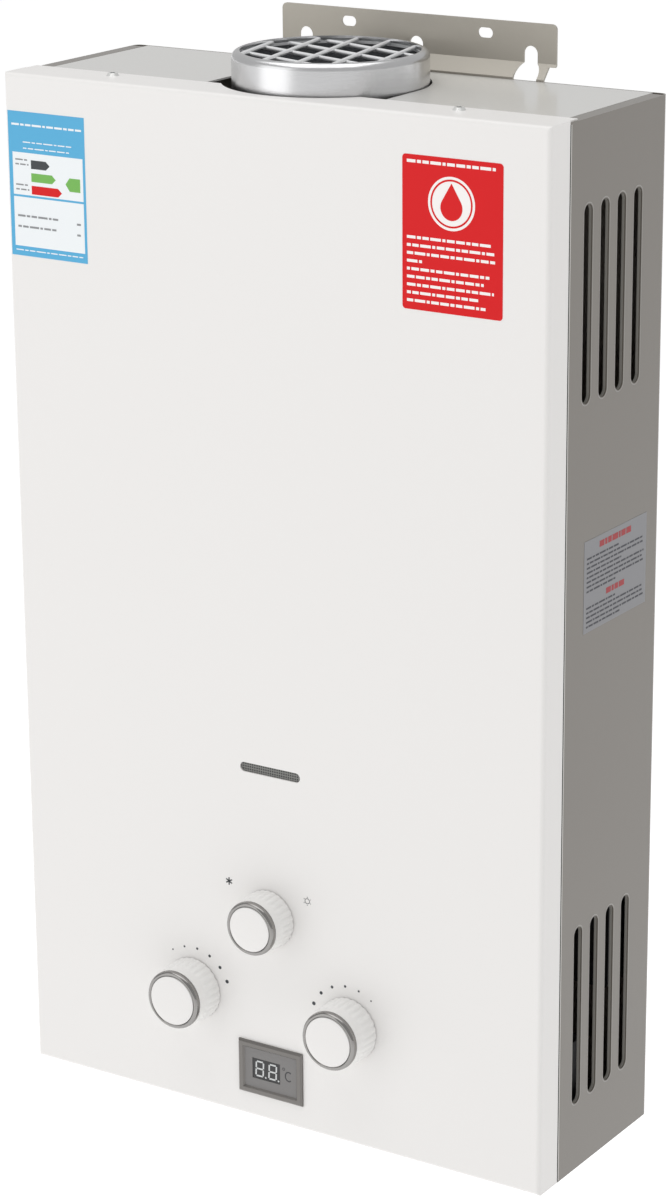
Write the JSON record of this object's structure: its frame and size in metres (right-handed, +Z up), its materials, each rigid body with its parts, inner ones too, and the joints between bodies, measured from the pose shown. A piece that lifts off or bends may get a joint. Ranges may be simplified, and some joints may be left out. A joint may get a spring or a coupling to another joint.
{
  "type": "wall-hung gas water heater",
  "caption": "Flat box-shaped instantaneous gas water heater with a white front pan, control knobs, a small display, side vents, a top flue collar and a keyhole wall hanger.",
  "frame": {"origin": "on the wall hanger's rear face, 15 mm above the casing's top, on the casing's centre line", "axes": "+X to the right as seen from the front, +Y towards the wall, +Z up"},
  "size_m": [0.345, 0.155, 0.649],
  "materials": {
    "cover_white": "satin powder coat",
    "case_grey": "gloss enamel",
    "zinc_sheet": "plain zinc-coated sheet",
    "chrome_trim": "polished",
    "knob_white": "gloss",
    "display_grey": "fine matt",
    "display_dark": "gloss",
    "dark_mesh": "matt, perforated",
    "copper": "bare copper, as drawn",
    "brass_parts": "bare",
    "cast_parts": "die cast",
    "burner_steel": "bare",
    "black_plastic": "fine matt",
    "rubber_part": "matt",
    "ceramic": "glazed",
    "cell_case": "gloss sleeve"
  },
  "bodies": {
    "heater": {"back_shell": "case_grey", "battery_box": "black_plastic", "battery_cells": "cell_case", "bottom_plate": "case_grey", "burner_bars": "burner_steel", "burner_frame": "burner_steel", "cold_inlet": "brass_parts", "cold_pipe": "copper", "cover_screws": "chrome_trim", "diaphragm": "rubber_part", "diaphragm_cover": "brass_parts", "display_bezel": "display_grey", "display_face": "display_grey", "display_glass": "display_dark", "display_module": "black_plastic", "exchanger_coil": "copper", "exchanger_fins": "copper", "exchanger_jacket": "copper", "flame_sensor": "ceramic", "flue_collar": "zinc_sheet", "flue_grille": "chrome_trim", "front_cover": "cover_white", "fume_hood": "zinc_sheet", "gas_inlet": "brass_parts", "gas_manifold": "cast_parts", "gas_nozzles": "brass_parts", "gas_pipe": "copper", "gas_seat_spring": "burner_steel", "gas_valve_body": "cast_parts", "gas_valve_cap": "cast_parts", "hanger_rivets": "zinc_sheet", "hot_outlet": "brass_parts", "hot_pipe": "copper", "igniter_box": "black_plastic", "ignition_electrode": "ceramic", "lock_nuts": "brass_parts", "manifold_pipe": "copper", "microswitch": "black_plastic", "overheat_switch": "black_plastic", "season_valve_body": "cast_parts", "solenoid": "zinc_sheet", "top_plate": "case_grey", "wall_hanger": "zinc_sheet", "water_valve_body": "brass_parts", "window_mesh": "dark_mesh"},
    "push_rod": {"push_rod": "brass_parts"},
    "switch_lever": {"switch_lever": "burner_steel"},
    "battery_door": {"battery_door": "black_plastic"},
    "gas_knob": {"gas_knob_body": "knob_white", "gas_knob_ring": "chrome_trim", "gas_knob_cap": "knob_white", "gas_spindle": "brass_parts"},
    "water_knob": {"water_knob_body": "knob_white", "water_knob_ring": "chrome_trim", "water_knob_cap": "knob_white", "water_spindle": "brass_parts"},
    "season_knob": {"season_knob_body": "knob_white", "season_knob_ring": "chrome_trim", "season_knob_cap": "knob_white", "season_spindle": "brass_parts"}
  },
  "joints": [
    {"name": "gas_knob_turn", "type": "hinge", "parent": "heater", "child": "gas_knob", "pos_m": [-0.057, -0.14, -0.534], "axis": [0, 1, 0], "range_deg": [0, 180]},
    {"name": "water_knob_turn", "type": "hinge", "parent": "heater", "child": "water_knob", "pos_m": [0.049, -0.14, -0.534], "axis": [0, 1, 0], "range_deg": [0, 180]},
    {"name": "season_knob_turn", "type": "hinge", "parent": "heater", "child": "season_knob", "pos_m": [-0.004, -0.14, -0.479], "axis": [0, 1, 0], "range_deg": [0, 120]},
    {"name": "battery_door_turn", "type": "hinge", "parent": "heater", "child": "battery_door", "pos_m": [0.126, -0.0652, -0.6084], "axis": [1, 0, 0], "range_deg": [0, 95]},
    {"name": "push_rod_slide", "type": "slide", "parent": "heater", "child": "push_rod", "axis": [-1, 0, 0], "range_m": [0, 0.004], "stiffness_N_per_m": 500, "springref_m": -0.004},
    {"name": "switch_lever_turn", "type": "hinge", "parent": "heater", "child": "switch_lever", "pos_m": [-0.0097, -0.07, -0.509], "axis": [0, 1, 0], "range_deg": [0, 12]}
  ],
  "couplings": [
    {"joint": "switch_lever_turn", "follows": "push_rod_slide", "rad_per_m": 50}
  ]
}
